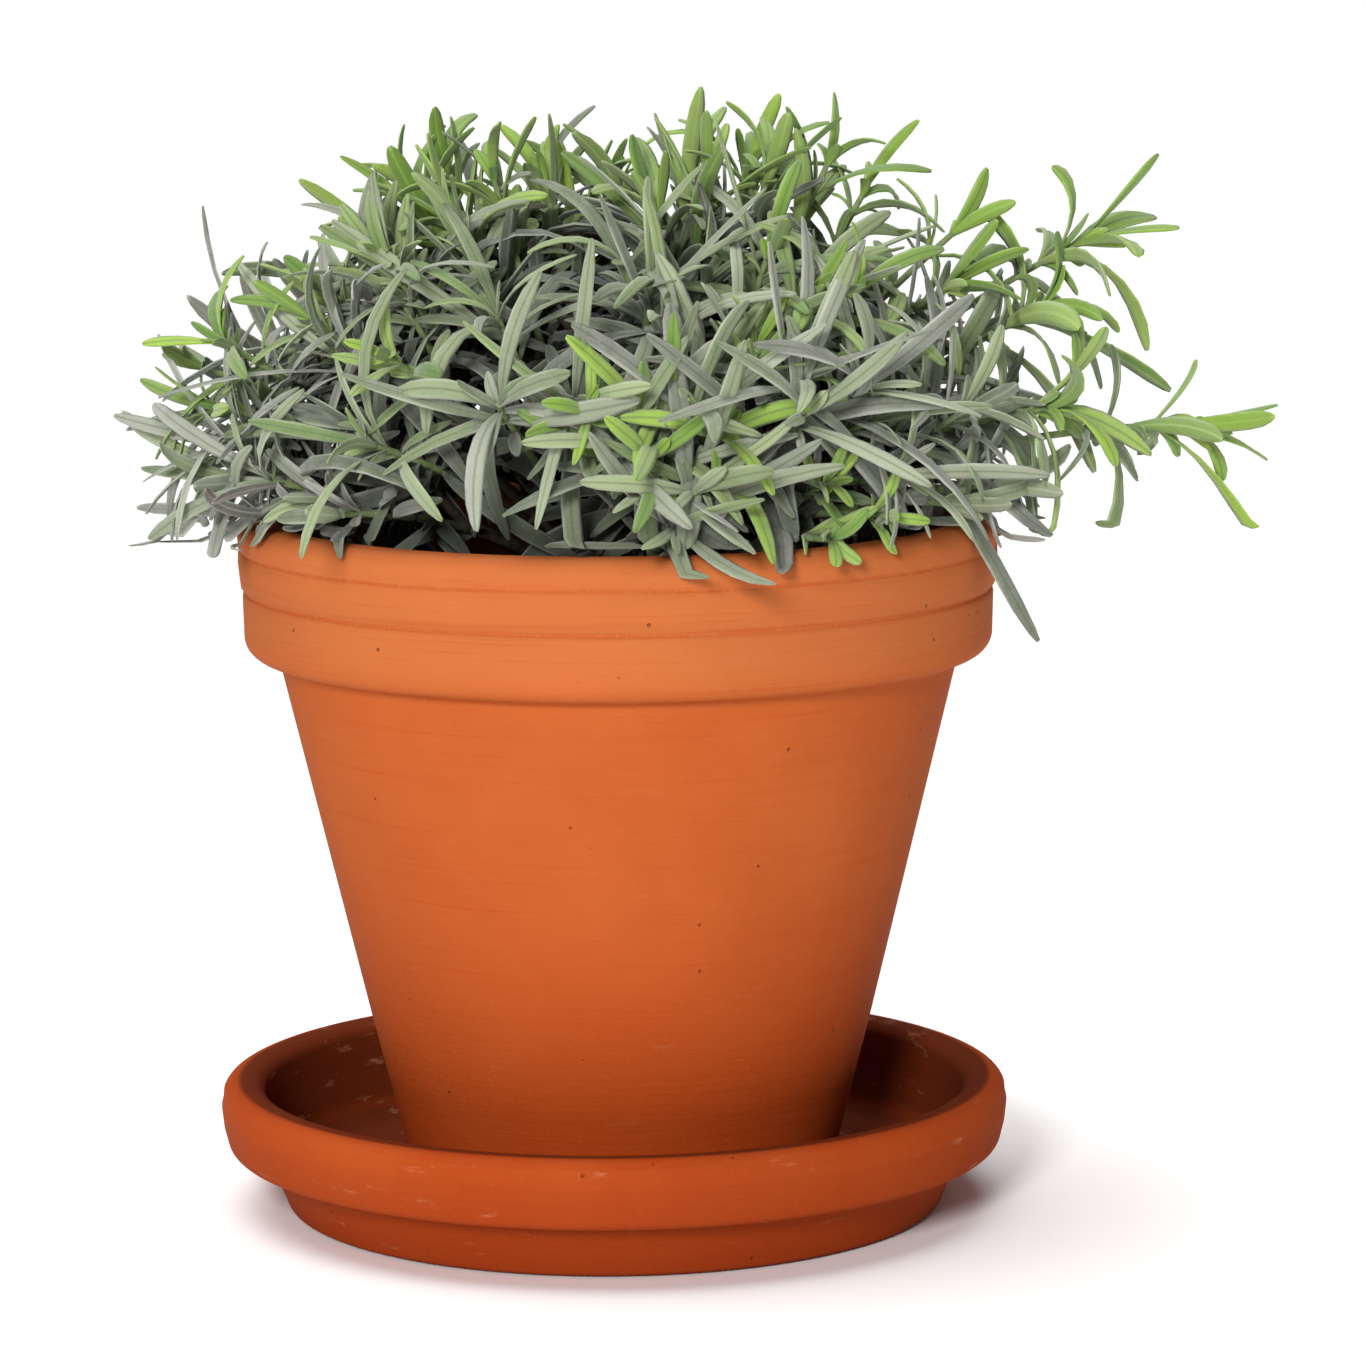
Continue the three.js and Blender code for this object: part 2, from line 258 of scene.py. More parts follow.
class Net:
    """A node tree being written."""

    def __init__(self, tree):
        self.tree = tree

    def add(self, kind, **settings):
        node = self.tree.nodes.new(kind)
        for name, value in settings.items():
            setattr(node, name, value)
        return node

    def feed(self, socket, value):
        if isinstance(value, Wire):
            self.tree.links.new(value.socket, socket)
        elif hasattr(value, "is_linked"):
            self.tree.links.new(value, socket)
        else:
            socket.default_value = value

    def node(self, kind, inputs=None, **settings):
        """Adds a node. Inputs are given by name, or by number where names repeat."""
        node = self.add(kind, **settings)
        for name, value in (inputs or {}).items():
            self.feed(node.inputs[name], value)
        return node

    def vector(self, x, y, z):
        node = self.node("ShaderNodeCombineXYZ", {0: x, 1: y, 2: z})
        return Wire(self, node.outputs[0], True)

    def mix(self, share, a, b):
        """A colour share of the way from a to b."""
        node = self.add("ShaderNodeMix", data_type="RGBA")
        self.feed(node.inputs[0], share)
        self.feed(node.inputs[6], a if isinstance(a, Wire) else (*a, 1))
        self.feed(node.inputs[7], b if isinstance(b, Wire) else (*b, 1))
        return Wire(self, node.outputs[2], True)

    def noise(self, where, scale, detail=3.0, roughness=0.55):
        node = self.node(
            "ShaderNodeTexNoise",
            {"Vector": where, "Scale": scale, "Detail": detail, "Roughness": roughness},
        )
        return Wire(self, node.outputs["Fac"])

    def specks(self, where, scale):
        """Distance to the nearest of many scattered points, in cells."""
        node = self.node("ShaderNodeTexVoronoi", {"Vector": where, "Scale": scale})
        return Wire(self, node.outputs["Distance"]), Wire(self, node.outputs["Color"], True)

    def attribute(self, name):
        node = self.add("ShaderNodeAttribute", attribute_name=name)
        return Wire(self, node.outputs["Fac"])


def new_material(name, roughness=0.8, **constants):
    """A material's net, its surface shader and the position on the object."""
    material = bpy.data.materials.new(name)
    material.use_nodes = True
    net = Net(material.node_tree)
    surface = material.node_tree.nodes["Principled BSDF"]
    surface.inputs["Roughness"].default_value = roughness
    for socket, value in constants.items():
        surface.inputs[socket.replace("_", " ")].default_value = value
    where = Wire(net, net.add("ShaderNodeTexCoord").outputs["Object"], True)
    return material, net, surface, where


def roughen(net, surface, height, distance):
    bump = net.node("ShaderNodeBump", {"Height": height, "Distance": distance, "Strength": 1.0})
    net.feed(surface.inputs["Normal"], Wire(net, bump.outputs["Normal"], True))


# ---------- fired clay ----------
def terracotta_material(name, clay, pale, dark, low_z, high_z, dust, painted_shade_cone, lines=(), painted_highlight_from=1.0):
    """Unglazed clay: mottled, with turning marks, small pits and rubbed pale edges.

    It is painted dark inside the cone given by its axis's x, its radius at height 0, its slope and its
    lowest height, as painted shade. Below high_z it is painted darker towards low_z, as painted shade.
    The lines are the heights of fine creases painted dark, as painted shade. The clay is painted paler,
    as a painted highlight, above the height given last.
    """
    material, net, surface, where = new_material(name, 0.75, Specular_IOR_Level=0.04)
    x, y, z = where.parts()
    mottle = net.noise(where, 22, 5, 0.6)
    cloud = net.noise(where, 7, 3, 0.5)
    stretched = net.vector(x * 14, y * 14, z * 900)
    turning = net.noise(stretched, 1, 3, 0.65)
    grain = net.noise(where, 900, 2, 0.6)
    height = z.between(low_z, high_z)
    colour = net.mix(mottle.between(0.32, 0.68, 0, 0.55), clay, pale)
    colour = net.mix(cloud.between(0.45, 0.75, 0, 0.45), colour, dark)
    # painted highlight: the clay of the collar is painted paler above the height given last
    colour = net.mix(z.between(painted_highlight_from - 0.004, painted_highlight_from + 0.012) * 0.45, colour, (0.46, 0.15, 0.05))
    # painted shade: the clay is painted darker towards low_z, the foot, where less light reaches
    colour = net.mix((1 - height) * 0.75, colour, dark)
    colour = net.mix(turning.between(0.5, 0.8, 0, 0.28), colour, dark)
    colour = net.mix(grain.between(0.55, 0.8, 0, 0.25), colour, pale)
    distance, cell = net.specks(where, 420)
    chance = cell.parts()[0]
    # painted shade: the pits are painted dark as well as sunk by the bump
    pit = distance.between(0.10, 0.24, 1, 0) * chance.between(0.985, 0.99)
    colour = net.mix(pit * 0.6, colour, (0.12, 0.03, 0.010))
    # painted shade: a fine dark line is painted along each crease height
    for crease in lines:
        away = (z - crease + (mottle - 0.5) * 0.002).abs()
        colour = net.mix(away.between(0.0008, 0.0002, 0, 0.3) * grain.between(0.3, 0.5), colour, dark)
    # painted shade: inside this cone the clay is painted nearly black, in the saucer under the pot and on
    # the inside of the pot's lip
    axis_x, cone_radius, slope, lowest = painted_shade_cone
    radius = ((x - axis_x) ** 2 + y**2) ** 0.5
    painted_shade = (radius - z * slope).between(cone_radius, cone_radius - 0.002)
    painted_shade = painted_shade * z.between(lowest, lowest + 0.004)
    colour = net.mix(painted_shade * 0.78, colour, (0.06, 0.012, 0.004))
    scuff = net.noise(net.vector(x * 60, y * 60, z * 260), 1, 4, 0.7).between(0.60, 0.78)
    colour = net.mix(scuff * dust, colour, (0.50, 0.24, 0.13))
    net.feed(surface.inputs["Base Color"], colour)
    net.feed(surface.inputs["Roughness"], mottle.between(0.3, 0.7, 0.68, 0.82))
    relief = turning * 0.35 + grain * 0.25 + mottle * 0.3 - pit * 1.2
    roughen(net, surface, relief, 0.00035)
    return material


# ---------- mesh tools ----------
def arc(centre_r, centre_z, radius, from_deg, to_deg, steps):
    """Points of an arc in the (radius, height) plane."""
    angles = (math.radians(from_deg + (to_deg - from_deg) * k / steps) for k in range(steps + 1))
    return [(centre_r + radius * math.cos(a), centre_z + radius * math.sin(a)) for a in angles]


def add_object(name, mesh):
    obj = bpy.data.objects.new(name, mesh)
    bpy.context.scene.collection.objects.link(obj)
    return obj


def settle(obj, node):
    """Says what a finished piece stands for and what it rides on."""
    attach(obj, "root")
    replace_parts(obj, *node) if isinstance(node, list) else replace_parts(obj, node)


def turned(name, profile, centre, steps=160):
    """A closed solid of revolution from (radius, height) points, some of which may be on the axis."""
    bm = bmesh.new()
    rings = []
    for radius, height in profile:
        if radius < 1e-6:
            rings.append([bm.verts.new(centre + Vector((0, 0, height)))])
            continue
        ring = []
        for k in range(steps):
            angle = 2 * math.pi * k / steps
            offset = Vector((radius * math.cos(angle), radius * math.sin(angle), height))
            ring.append(bm.verts.new(centre + offset))
        rings.append(ring)
    closed = profile[0][0] > 1e-6 and profile[-1][0] > 1e-6
    pairs = list(zip(rings, rings[1:])) + ([(rings[-1], rings[0])] if closed else [])
    for lower, upper in pairs:
        for k in range(steps):
            corners = [
                lower[k % len(lower)],
                lower[(k + 1) % len(lower)],
                upper[(k + 1) % len(upper)],
                upper[k % len(upper)],
            ]
            corners = list(dict.fromkeys(corners))
            if len(corners) > 2:
                bm.faces.new(corners)
    bmesh.ops.recalc_face_normals(bm, faces=bm.faces)
    mesh = bpy.data.meshes.new(name)
    bm.to_mesh(mesh)
    bm.free()
    mesh.shade_smooth()
    return add_object(name, mesh)


# ---------- saucer and pot ----------
def saucer_profile():
    base, radius, top, floor = SAUCER_BASE_RADIUS, SAUCER_RADIUS, SAUCER_HEIGHT, SAUCER_FLOOR
    return [
        (0, 0),
        (base - 2 * MM, 0),
        *arc(base - 1.8 * MM, 2 * MM, 2 * MM, -75, -15, 6),
        (base + 2.2 * MM, 6.5 * MM),
        (base + 4.6 * MM, 12 * MM),
        *arc(base + 6.6 * MM, 12.2 * MM, 1.7 * MM, 180, 100, 5),
        (base + 10.2 * MM, 14.5 * MM),
        *arc(radius - 4.6 * MM, 17.8 * MM, 3.2 * MM, -80, -10, 7),
        (radius - 0.5 * MM, 21 * MM),
        *arc(radius - 2.6 * MM, 25.6 * MM, 2.6 * MM, -10, 30, 5),
        *arc(radius - 4.4 * MM, top - 4.2 * MM, 4.2 * MM, 24, 90, 7),
        *arc(radius - 7.2 * MM, top - 4 * MM, 4 * MM, 90, 165, 7),
        (88.2 * MM, 24 * MM),
        (86.2 * MM, 15 * MM),
        *arc(79.8 * MM, floor + 6 * MM, 6 * MM, -8, -84, 7),
        (0, floor),
    ]


def wall_radius(z):
    return FOOT_RADIUS + WALL_TAPER * z


def pot_profile():
    collar = POT_RADIUS - 1.6 * MM
    top = POT_HEIGHT
    neck = wall_radius(COLLAR_Z)
    return [
        (DRAIN_RADIUS + 1 * MM, 0),
        (FOOT_RADIUS - 2 * MM, 0),
        *arc(FOOT_RADIUS - 2.2 * MM, 2.2 * MM, 2.2 * MM, -80, -10, 6),
        (wall_radius(40 * MM), 40 * MM),
        (wall_radius(85 * MM), 85 * MM),
        (wall_radius(COLLAR_Z - 3 * MM), COLLAR_Z - 3 * MM),
        *arc(neck + 2.6 * MM, COLLAR_Z - 1.6 * MM, 2.9 * MM, 172, 112, 6),
        *arc(collar - 5.2 * MM, COLLAR_Z + 6.6 * MM, 5.2 * MM, -70, 0, 9),
        (collar + 0.25 * MM, GROOVE_Z - 1.6 * MM),
        *arc(collar + 0.5 * MM, GROOVE_Z, 0.75 * MM, 230, 130, 6),
        (collar + 0.7 * MM, GROOVE_Z + 1.1 * MM),
        (POT_RADIUS - 0.25 * MM, top - 11 * MM),
        *arc(POT_RADIUS - 0.2 * MM, top - 7.6 * MM, 0.35 * MM, 230, 130, 4),
        *arc(POT_RADIUS - 4.9 * MM, top - 4.9 * MM, 4.9 * MM, 12, 90, 10),
        *arc(87 * MM, top - 3.5 * MM, 3.5 * MM, 90, 175, 8),
        (neck - WALL + 3 * MM, COLLAR_Z + 4 * MM),
        (wall_radius(POT_FLOOR + 5 * MM) - WALL, POT_FLOOR + 5 * MM),
        *arc(wall_radius(POT_FLOOR + 5 * MM) - WALL - 5 * MM, POT_FLOOR + 5 * MM, 5 * MM, -10, -90, 6),
        (DRAIN_RADIUS + 1 * MM, POT_FLOOR),
        (DRAIN_RADIUS, POT_FLOOR - 1 * MM),
        (DRAIN_RADIUS, 1 * MM),
    ]


def make_pot_and_saucer():
    saucer = turned("turned_saucer", saucer_profile(), Vector((SAUCER_CENTRE_X, 0, 0)), 192)
    clay = terracotta_material(
        "saucer_clay",
        (0.345, 0.051, 0.008), (0.40, 0.075, 0.016), (0.25, 0.032, 0.005), 0.0, 0.04, 0.5,
        # painted shade inside the saucer, under the pot
        (SAUCER_CENTRE_X, 0.0815, 0.45, 0.002),
    )
    saucer.data.materials.append(clay)
    settle(saucer, "saucer")
    pot = turned("turned_pot", pot_profile(), Vector((0, 0, POT_LOW.z)), 192)
    clay = terracotta_material(
        "pot_clay",
        (0.390, 0.082, 0.018), (0.45, 0.108, 0.027), (0.34, 0.034, 0.002), 0.0, 0.115, 0.12,
        # painted shade on the inside of the pot's lip, above the mix
        (0, 84.5 * MM, 0, POT_LOW.z + COLLAR_Z + 6 * MM),
        # heights of the creases that get painted shade lines
        (POT_LOW.z + GROOVE_Z, POT_LOW.z + COLLAR_Z + 0.3 * MM, POT_HIGH.z - 7.6 * MM),
        # the collar is painted paler above this height, as a painted highlight
        POT_LOW.z + COLLAR_Z,
    )
    pot.data.materials.append(clay)
    settle(pot, "pot")


make_pot_and_saucer()


# ---------- potting mix and old wood ----------
def inside_radius(z):
    """Inside radius of the pot at a height above its foot."""
    low = (POT_FLOOR + 5 * MM, wall_radius(POT_FLOOR + 5 * MM) - WALL)
    shoulder = (COLLAR_Z + 4 * MM, wall_radius(COLLAR_Z) - WALL + 3 * MM)
    lip = (POT_HEIGHT - 3.2 * MM, 83.5 * MM)
    a, b = (low, shoulder) if z < shoulder[0] else (shoulder, lip)
    return a[1] + (b[1] - a[1]) * (z - a[0]) / (b[0] - a[0])


def potting_mix_material():
    material, net, surface, where = new_material("damp_mix", 0.95, Specular_IOR_Level=0.2)
    crumbs = net.noise(where, 320, 4, 0.7)
    lumps = net.noise(where, 60, 3, 0.6)
    colour = net.mix(crumbs.between(0.35, 0.7), (0.010, 0.006, 0.004), (0.055, 0.034, 0.020))
    colour = net.mix(lumps.between(0.5, 0.8, 0, 0.6), colour, (0.022, 0.013, 0.008))
    net.feed(surface.inputs["Base Color"], colour)
    roughen(net, surface, crumbs + lumps * 0.5, 0.0012)
    return material


def bark_material():
    material, net, surface, where = new_material("old_bark", 0.9, Specular_IOR_Level=0.2)
    x, y, z = where.parts()
    fibres = net.noise(net.vector(x * 900, y * 900, z * 120), 1, 4, 0.7)
    colour = net.mix(fibres.between(0.35, 0.7), (0.045, 0.030, 0.022), (0.20, 0.145, 0.10))
    net.feed(surface.inputs["Base Color"], colour)
    roughen(net, surface, fibres, 0.0008)
    return material


def make_potting_mix():
    """The mix as a solid that fills the pot, with an uneven crumbly top."""
    top = SOIL_Z - POT_LOW.z
    gap = 0.3 * MM
    rims = 26
    profile = [(0, POT_FLOOR + gap), (inside_radius(POT_FLOOR + 5 * MM) - 5 * MM, POT_FLOOR + gap)]
    profile += [(inside_radius(z) - gap, z) for z in (POT_FLOOR + 6 * MM, COLLAR_Z + 4 * MM, top)]
    edge = profile[-1][0]
    for k in range(1, rims):
        share = k / rims
        profile.append((edge * (1 - share), top + SOIL_CROWN * share))
    profile.append((0, top + SOIL_CROWN))
    mix = turned("crumbly_mix", profile, Vector((0, 0, POT_LOW.z)), 120)
    for vertex in mix.data.vertices:
        radius = math.hypot(vertex.co.x, vertex.co.y)
        if vertex.co.z > SOIL_Z - 0.1 * MM and radius < edge - 0.5 * MM:
            lump = noise.fractal(vertex.co * 90, 0.8, 2.1, 4)
            vertex.co.z += 2.2 * MM * lump
    mix.data.materials.append(potting_mix_material())
    settle(mix, "potting_mix")


def make_woody_crown():
    """The knuckle of old wood that the stems come from."""
    bm = bmesh.new()
    bmesh.ops.create_icosphere(bm, subdivisions=5, radius=1)
    for vertex in bm.verts:
        p = vertex.co.copy()
        ridge = noise.fractal(Vector((p.x * 2.4, p.y * 2.4, p.z * 0.7)), 0.7, 2.0, 4)
        swell = 1 + 0.22 * ridge
        height = CROWN_HEIGHT * 0.96 if p.z > 0 else 12 * MM
        vertex.co = CROWN_CENTRE + Vector(
            (p.x * CROWN_RADIUS * 0.95 * swell, p.y * CROWN_RADIUS * 0.95 * swell, p.z * height)
        )
    mesh = bpy.data.meshes.new("gnarled_crown")
    bm.to_mesh(mesh)
    bm.free()
    mesh.shade_smooth()
    crown = add_object("gnarled_crown", mesh)
    crown.data.materials.append(bark_material())
    settle(crown, "woody_crown")


make_potting_mix()
make_woody_crown()


# ---------- where the shoots go ----------
DOME_SHOOTS = 26
DOME_CENTRE_Z = 176 * MM
DOME_RADII = Vector((91, 80, 67)) * MM
DOME_EDGE_DEG = 82
GOLDEN_ANGLE_DEG = 137.508
BARE_PATCH = Vector((-27, -78, 182)) * MM
BARE_RADIUS = 13 * MM
OPEN_PATCH = (-60 * MM, 0)
OPEN_PATCH_Y = -45 * MM
BASE_SPACING_DEG = 14

# Shoots that stand out of the dome: name, tip in mm, leaf length and width in mm, greenness, and
# what else sets the shoot apart.
STANDOUT_SHOOTS = [
    ("trailing_shoot_1", (141, -12, 197), 33, 6.0, 0.95, "arching bare dangling"),
    ("trailing_shoot_2", (118, 8, 242), 36, 6.5, 0.95, "arching bare dangling"),
    ("trailing_shoot_3", (107, 2, 226), 36, 7.0, 0.9, "arching bare dangling"),
    ("trailing_shoot_4", (108, -24, 203), 32, 7.0, 0.85, "arching bare dangling"),
    ("green_shoot_1", (-30, 0, 258), 34, 7.0, 0.95, "upright"),
    ("green_shoot_2", (-42, 22, 259), 32, 6.0, 0.9, "upright"),
    ("green_shoot_3", (-17, 16, 254), 30, 5.5, 0.7, "upright"),
    ("green_shoot_4", (2, 26, 257), 32, 5.5, 0.8, "arching"),
    ("green_shoot_5", (23, 0, 255), 36, 6.0, 0.85, "upright"),
    ("green_shoot_6", (53, 6, 261), 32, 5.5, 0.9, "upright"),
    ("green_shoot_7", (84, 0, 244), 30, 5.5, 0.85, "arching"),
    ("green_shoot_8", (56, -44, 232), 38, 6.0, 0.75, "arching"),
    ("green_shoot_9", (33, -70, 218), 20, 5.0, 0.9, "upright"),
    ("green_shoot_10", (8, -86, 198), 36, 6.0, 1.0, "arching"),
    ("green_shoot_11", (-7, -82, 208), 22, 5.0, 1.0, "upright"),
    ("green_shoot_12", (-54, -64, 220), 20, 5.0, 0.8, "upright"),
    ("green_shoot_13", (-75, -30, 227), 26, 5.5, 0.7, "upright"),
    ("green_shoot_14", (-102, -12, 213), 31, 5.0, 0.85, "arching"),
    ("green_shoot_15", (-58, -14, 238), 30, 5.5, 0.5, "upright"),
    ("rim_shoot_1", (18, -88, 190), 42, 6.5, 0.12, "arching lipping"),
    ("rim_shoot_2", (-66, -60, 182), 24, 6.0, 0.0, "upright"),
    ("rim_shoot_3", (-97, -20, 190), 50, 5.5, 0.0, "arching"),
    ("rim_shoot_4", (90, -28, 184), 40, 6.0, 0.05, "arching"),
    ("rim_shoot_5", (64, -72, 182), 18, 4.5, 0.9, "upright"),
    ("rim_shoot_6", (78, -46, 182), 43, 6.0, 0.1, "arching overhanging"),
    ("grey_shoot_1", (-28, -80, 210), 44, 6.5, 0.1, "arching"),
    ("grey_shoot_2", (44, -78, 207), 48, 6.0, 0.05, "arching"),
]
HABITS = {
    "arching": {"lean_low": 1.15, "lean_high": 0.35, "curl": 0.95, "droop": 0.28},
    "upright": {"lean_low": 0.75, "lean_high": 0.18, "curl": 0.7, "droop": 0.12},
    "bare": {
        "leafy_from": 0.8,
        "pairs": 6,
        "sprays": 0,
        "lean_low": 1.0,
        "lean_high": 0.25,
        "curl": 0.9,
    },
    "dangling": {"droop": 0.8, "twist": 1.3},
    "sparse": {"leafy_from": 0.72, "sprays": 0},
    "overhanging": {"overhang": 60 * MM, "droop": 0.6, "pairs": 3, "sprays": 0},
    "lipping": {"overhang": 14 * MM},
}


def scatter(i, channel):
    """A value from 0 to 1 that jumps about as i and channel change, and is the same every time."""
    value = (i + 1) * 0.6180339887 + (channel + 1) * 0.7548776662
    return value - math.floor(value)


def dome_tip(i):
    edge = math.cos(math.radians(DOME_EDGE_DEG))
    up = 1 - (i + 0.5) / DOME_SHOOTS * (1 - edge)
    out = math.sqrt(1 - up * up)
    around = math.radians(GOLDEN_ANGLE_DEG * i)
    reach = 0.92 + 0.16 * scatter(i, 0)
    direction = Vector((out * math.cos(around), out * math.sin(around), up))
    return direction * DOME_RADII * reach + Vector((0, 0, DOME_CENTRE_Z))


def over_open_patch(tip):
    """True at the front left, where the plant is thin low down and shows its bare wood."""
    return OPEN_PATCH[0] < tip.x < OPEN_PATCH[1] and tip.y < OPEN_PATCH_Y


def planting_plan():
    plan = []
    for name, tip, length, width, green, habits in STANDOUT_SHOOTS:
        shoot = {
            "name": name,
            "tip": Vector(tip) * MM,
            "length": length * MM,
            "width": width * MM,
            "green": green,
        }
        for habit in habits.split():
            shoot.update(HABITS[habit])
        plan.append(shoot)
    for i in range(DOME_SHOOTS):
        plan.append(
            {
                "name": f"dome_shoot_{i + 1}",
                "tip": dome_tip(i),
                "length": (44 + 12 * scatter(i, 1)) * MM,
                "width": (5.0 + 1.0 * scatter(i, 2)) * MM,
                "green": 0.4 * scatter(i, 3) ** 4,
                "curl": 0.9 + 0.9 * scatter(i, 5),
            }
        )
    for shoot in plan:
        if over_open_patch(shoot["tip"]):
            shoot.update(HABITS["sparse"])
    return plan


def stem_directions(plan):
    """Directions in which the stems leave the crown: towards their tips, but pushed apart."""
    directions = []
    for shoot in plan:
        d = shoot["tip"] - CROWN_CENTRE
        d.z = max(d.z, 0.12 * d.length)
        directions.append(d.normalized())
    least = math.radians(BASE_SPACING_DEG)
    for _ in range(60):
        for i, a in enumerate(directions):
            for b in directions[i + 1 :]:
                apart = a.angle(b)
                if apart >= least:
                    continue
                push = (b - a).normalized() * (least - apart) * 0.5
                a -= push
                a.normalize()
                b += push
                b.normalize()
            a.z = max(a.z, 0.1)
            a.normalize()
    return directions


def stem_route(shoot, direction):
    """The stem's curve as a function of 0 to 1."""
    scale = Vector((CROWN_RADIUS, CROWN_RADIUS, CROWN_HEIGHT))
    start = CROWN_CENTRE + direction * scale * 0.8
    reach = (shoot["tip"] - start).length
    bend = start + direction * reach * 0.45
    bend.z += reach * 0.22 * (1 - direction.z)

    def at(u):
        return start * (1 - u) ** 2 + bend * (2 * u * (1 - u)) + shoot["tip"] * u**2

    return at


def side_routes(shoot, at, number):
    """Side sprays that leave the stem part of the way up."""
    routes = []
    for k in range(number):
        seed = hash_number(shoot["name"]) + 7 * k
        leave = 0.46 + 0.3 * scatter(seed, 4)
        start = at(leave)
        along = (at(min(leave + 0.05, 1)) - start).normalized()
        side = along.orthogonal().normalized()
        around = 2 * math.pi * (k / number + scatter(seed, 5))
        out = side * math.cos(around) + along.cross(side) * math.sin(around)
        reach = (shoot["tip"] - start).length
        length = max(reach * (0.7 + 0.35 * scatter(seed, 6)), 18 * MM)
        middle = start + along * length * 0.45 + out * length * 0.32
        end = start + along * length * 0.95 + out * length * 0.46
        routes.append((start, middle, end))
    return routes


def hash_number(name):
    """A small whole number made from a name's letters."""
    return sum((k + 1) * ord(letter) for k, letter in enumerate(name)) % 997


def stem_curves(shoot, direction, sprays):
    """The guide curves of one shoot: its stem and its side sprays."""
    at = stem_route(shoot, direction)
    data = bpy.data.curves.new(shoot["name"] + "_guide", "CURVE")
    data.dimensions = "3D"
    routes = [[at(k / 16) for k in range(17)]]
    for start, middle_point, end in side_routes(shoot, at, sprays):
        routes.append(
            [
                start * (1 - u) ** 2 + middle_point * (2 * u * (1 - u)) + end * u**2
                for u in (k / 8 for k in range(9))
            ]
        )
    for route in routes:
        spline = data.splines.new("POLY")
        spline.points.add(len(route) - 1)
        for point, place in zip(spline.points, route):
            point.co = (*place, 1)
    return add_object(shoot["name"] + "_leafy", data)


# ---------- one leaf blade ----------
BLADE_STATIONS = (0.0, 0.1, 0.24, 0.4, 0.56, 0.72, 0.86, 0.96, 1.0)
UPPER_SECTION = ((-1, -0.10), (-0.55, 0.16), (0, -0.02), (0.55, 0.16), (1, -0.10))
UNDER_SECTION = ((0.55, -0.12), (0, -0.34), (-0.55, -0.12))


def blade_half_width(s):
    """Share of the full half width at s along the blade: narrow at the base, widest past the middle."""
    if s < 0.6:
        return 0.26 + 0.74 * math.sin(math.pi / 2 * s / 0.6) ** 1.15
    return max(math.sqrt(max(1 - ((s - 0.6) / 0.4) ** 3.2, 0)), 0.25)


def make_blade():
    """A straight blade in its own plain coordinates, kept as attributes for the leafy tree to bend."""
    bm = bmesh.new()
    section = UPPER_SECTION + UNDER_SECTION
    across = bm.verts.layers.float.new("blade_across")
    along = bm.verts.layers.float.new("blade_along")
    lift = bm.verts.layers.float.new("blade_lift")
    under = bm.verts.layers.float.new("blade_under")
    cell = bm.loops.layers.uv.new("blade_map")
    rings = []
    for s in BLADE_STATIONS:
        width = blade_half_width(s)
        thick = min(1, 0.45 + width * 0.55)
        ring = []
        for k, (a, b) in enumerate(section):
            vertex = bm.verts.new((a * width, s, b * thick))
            vertex[across] = a * width
            vertex[along] = s
            vertex[lift] = b * thick
            vertex[under] = 1.0 if k >= len(UPPER_SECTION) else 0.0
            ring.append(vertex)
        rings.append(ring)
    count = len(section)
    for row, (near, far) in enumerate(zip(rings, rings[1:])):
        for k in range(count):
            n = (k + 1) % count
            face = bm.faces.new((near[k], far[k], far[n], near[n]))
            is_upper = k < len(UPPER_SECTION) - 1
            for loop in face.loops:
                j = (near.index(loop.vert) if loop.vert in near else far.index(loop.vert))
                a = section[j][0]
                s = BLADE_STATIONS[row if loop.vert in near else row + 1]
                u = 0.25 + 0.22 * a if is_upper else 0.75 - 0.22 * a
                loop[cell].uv = (u, 0.03 + 0.94 * s)
    bm.faces.new(rings[0])
    bm.faces.new(list(reversed(rings[-1])))
    bmesh.ops.recalc_face_normals(bm, faces=bm.faces)
    mesh = bpy.data.meshes.new("blade")
    bm.to_mesh(mesh)
    bm.free()
    mesh.shade_smooth()
    blade = add_object("blade", mesh)
    blade.hide_render = True
    return blade


